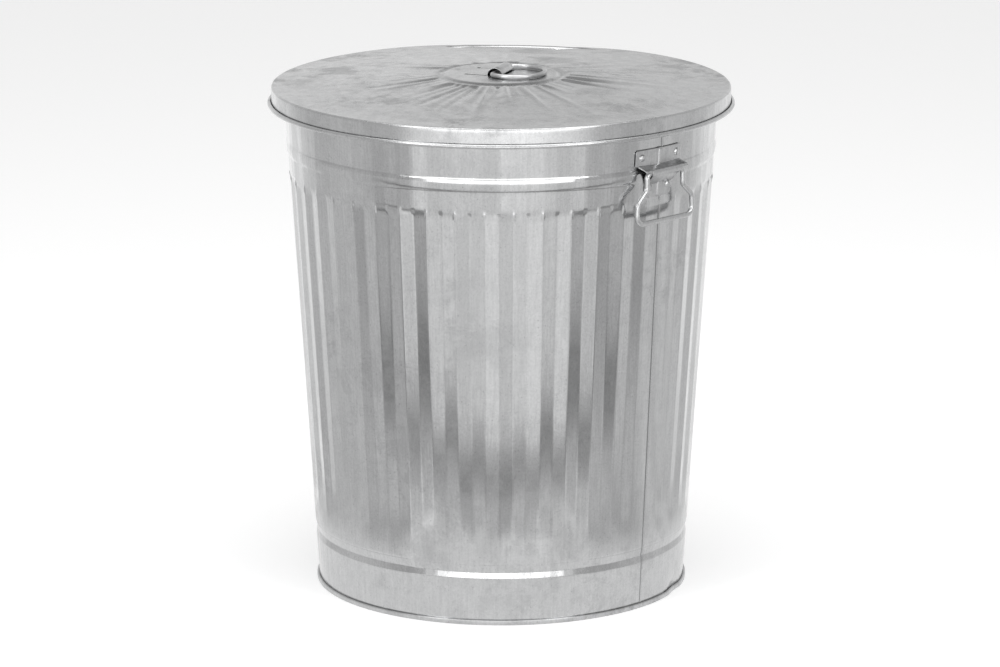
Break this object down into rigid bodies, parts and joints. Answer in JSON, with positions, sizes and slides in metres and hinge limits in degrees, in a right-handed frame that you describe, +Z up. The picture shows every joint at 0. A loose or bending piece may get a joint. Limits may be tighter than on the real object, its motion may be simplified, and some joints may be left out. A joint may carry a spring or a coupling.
{
  "type": "trash can",
  "caption": "Round galvanized steel trash can with upright flutes, a lift-off lid with a wire ring, and two swinging wire carrying handles.",
  "frame": {"origin": "middle of the base, on the ground", "axes": "+Z up along the can's axis, carrying handles at +X and -X"},
  "size_m": [0.5, 0.5, 0.564],
  "materials": {
    "wall_sheet": "galvanized, satin",
    "lid_sheet": "galvanized, satin",
    "pan_sheet": "galvanized, satin",
    "wire": "galvanized wire",
    "bracket": "galvanized, satin",
    "rivet": "galvanized, satin"
  },
  "bodies": {
    "can": {"body_shell": "wall_sheet", "rim_wire": "wire", "bottom_pan": "pan_sheet", "handle_bracket_right": "bracket", "handle_bracket_left": "bracket", "rivet_right_upper_a": "rivet", "rivet_right_upper_b": "rivet", "rivet_right_lower_a": "rivet", "rivet_right_lower_b": "rivet", "rivet_left_upper_a": "rivet", "rivet_left_upper_b": "rivet", "rivet_left_lower_a": "rivet", "rivet_left_lower_b": "rivet"},
    "lid": {"lid_shell": "lid_sheet"},
    "lid_ring": {"lid_handle": "wire"},
    "handle_right": {"handle_bail_right": "wire"},
    "handle_left": {"handle_bail_left": "wire"}
  },
  "joints": [
    {"name": "lid_lift", "type": "slide", "parent": "can", "child": "lid", "axis": [0, 0, 1], "range_m": [0, 0.3]},
    {"name": "lid_ring_hinge", "type": "hinge", "parent": "lid", "child": "lid_ring", "pos_m": [-0.00109, -0.0005, 0.5581], "axis": [0.4147, -0.91, 0], "range_deg": [0, 175]},
    {"name": "handle_right_hinge", "type": "hinge", "parent": "can", "child": "handle_right", "pos_m": [0.23902, 0, 0.484], "axis": [0, -1, 0], "range_deg": [-10, 45]},
    {"name": "handle_left_hinge", "type": "hinge", "parent": "can", "child": "handle_left", "pos_m": [-0.23902, 0, 0.484], "axis": [0, 1, 0], "range_deg": [-10, 45]}
  ]
}
